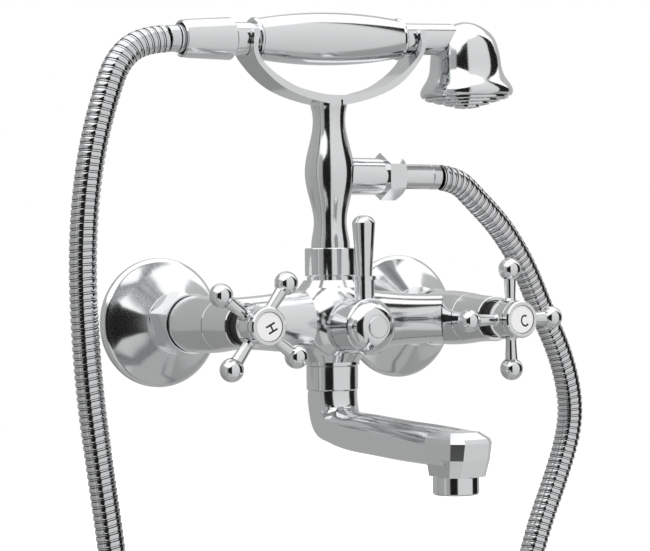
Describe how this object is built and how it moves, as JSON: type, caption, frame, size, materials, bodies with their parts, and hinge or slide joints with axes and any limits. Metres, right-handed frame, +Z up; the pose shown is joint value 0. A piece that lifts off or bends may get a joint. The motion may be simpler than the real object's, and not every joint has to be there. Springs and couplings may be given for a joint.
{
  "type": "bath shower mixer",
  "caption": "Wall-mounted bath shower mixer with cross handles, lever diverter, swivel spout, riser cradle, handset and ribbed metal hose.",
  "frame": {"origin": "on the wall plane, midway between the two inlets, at the height of their axes", "axes": "+X to the user's right along the wall, +Y into the wall, +Z up"},
  "size_m": [0.3204, 0.2026, 0.5867],
  "materials": {
    "chrome": "polished chrome plate",
    "brass": "machined brass",
    "ceramic": "lapped ceramic",
    "rubber": "moulded rubber",
    "black_plastic": "moulded plastic",
    "grey_plastic": "moulded plastic",
    "index_enamel": "white enamel with a black letter",
    "steel_screw": "blackened steel",
    "hose_metal": "ribbed metal tube, polished"
  },
  "bodies": {
    "body": {"hot_wall_union": "brass", "cold_wall_union": "brass", "wall_flanges": "chrome", "hot_union_nut": "chrome", "cold_union_nut": "chrome", "union_washers": "rubber", "mixer_body": "chrome", "hot_headwork_barrel": "brass", "cold_headwork_barrel": "brass", "hot_valve_bonnet": "chrome", "cold_valve_bonnet": "chrome", "seat_seals": "rubber", "fixed_discs": "ceramic", "spindle_rings": "rubber", "dust_rings": "black_plastic", "diverter_barrel": "brass", "diverter_ring": "rubber", "riser_nut": "chrome", "riser_seal": "rubber", "riser_column": "chrome", "check_valve": "black_plastic", "cradle": "chrome", "spout_nut": "chrome", "spout_slip_ring": "black_plastic", "hose_nut": "chrome", "outlet_washer": "rubber", "lower_ferrule": "chrome", "shower_hose": "hose_metal"},
    "hot_handle": {"hot_spindle": "brass", "hot_moving_disc": "ceramic", "hot_handle_hub": "chrome", "hot_handle_arms": "chrome", "hot_grub_screw": "steel_screw", "hot_index_ring": "chrome", "hot_index_disc": "index_enamel"},
    "cold_handle": {"cold_spindle": "brass", "cold_moving_disc": "ceramic", "cold_handle_hub": "chrome", "cold_handle_arms": "chrome", "cold_grub_screw": "steel_screw", "cold_index_ring": "chrome", "cold_index_disc": "index_enamel"},
    "diverter": {"diverter_rotor": "brass", "diverter_knob": "chrome", "diverter_lever": "chrome", "diverter_cap": "chrome"},
    "spout": {"spout": "chrome", "spout_rings": "rubber", "aerator_housing": "chrome", "aerator_insert": "grey_plastic", "aerator_washer": "rubber"},
    "handset": {"cone_nut": "chrome", "upper_ferrule": "chrome", "handset_washer": "rubber", "handset_tube": "chrome", "handset_grip": "chrome", "grip_rings": "chrome", "shower_head": "chrome", "spray_plate": "grey_plastic", "spray_gasket": "rubber"}
  },
  "joints": [
    {"name": "hot_turn", "type": "hinge", "parent": "body", "child": "hot_handle", "pos_m": [-0.075, -0.1109, 0], "axis": [0, -1, 0], "range_deg": [0, 90]},
    {"name": "cold_turn", "type": "hinge", "parent": "body", "child": "cold_handle", "pos_m": [0.075, -0.1109, 0], "axis": [0, -1, 0], "range_deg": [0, 90]},
    {"name": "diverter_turn", "type": "hinge", "parent": "body", "child": "diverter", "pos_m": [0, -0.0875, -0.0024], "axis": [0, 1, 0], "range_deg": [0, 90]},
    {"name": "spout_swivel", "type": "hinge", "parent": "body", "child": "spout", "pos_m": [0, -0.0538, -0.0363], "axis": [0, 0, 1], "range_deg": [-60, 60]},
    {"name": "handset_lift", "type": "slide", "parent": "body", "child": "handset", "axis": [-0.0349, 0, 0.9994], "range_m": [0, 0.06]}
  ]
}
